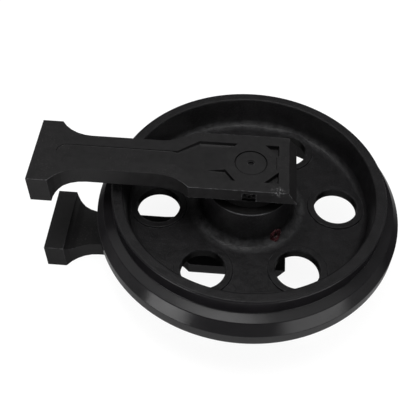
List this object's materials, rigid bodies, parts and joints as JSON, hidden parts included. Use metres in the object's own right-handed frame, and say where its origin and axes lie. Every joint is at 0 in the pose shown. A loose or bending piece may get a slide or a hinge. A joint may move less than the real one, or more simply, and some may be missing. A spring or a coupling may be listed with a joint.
{
  "type": "excavator front idler",
  "caption": "Flanged idler wheel with a holed web, turning on a sealed shaft held between two T-shaped forged brackets.",
  "frame": {"origin": "middle of the footprint, on the surface that the lower bracket's outer face lies on; the wheel's axis stands at x = 0.040 m", "axes": "+Z along the wheel's axis from the lower to the upper bracket, +X from the brackets' T-shaped ends to the wheel, +Y across the brackets"},
  "size_m": [0.51, 0.43, 0.196],
  "materials": {
    "black_paint": "satin black paint over a forged skin",
    "wheel_paint": "satin black paint over a cast skin, glossier on the turned rim and flange",
    "ground_steel": "ground",
    "seal_iron": "lapped",
    "bronze": "turned",
    "black_rubber": "matt",
    "zinc_steel": "zinc plated"
  },
  "bodies": {
    "brackets": {"bracket_upper": "black_paint", "bracket_lower": "black_paint", "idler_shaft": "ground_steel", "shaft_plug": "zinc_steel", "shaft_o_ring_upper": "black_rubber", "shaft_o_ring_lower": "black_rubber", "lock_pin_upper": "ground_steel", "lock_pin_lower": "ground_steel", "seal_ring_bracket_upper": "seal_iron", "seal_ring_bracket_lower": "seal_iron", "toric_ring_bracket_upper": "black_rubber", "toric_ring_bracket_lower": "black_rubber"},
    "wheel": {"idler_wheel": "wheel_paint", "hub_oil_plug": "zinc_steel", "bush_upper": "bronze", "bush_lower": "bronze", "seal_ring_wheel_upper": "seal_iron", "seal_ring_wheel_lower": "seal_iron", "toric_ring_wheel_upper": "black_rubber", "toric_ring_wheel_lower": "black_rubber"}
  },
  "joints": [
    {"name": "wheel_spin", "type": "hinge", "parent": "brackets", "child": "wheel", "pos_m": [0.04, 0, 0.098], "axis": [0, 0, 1], "continuous": true}
  ]
}
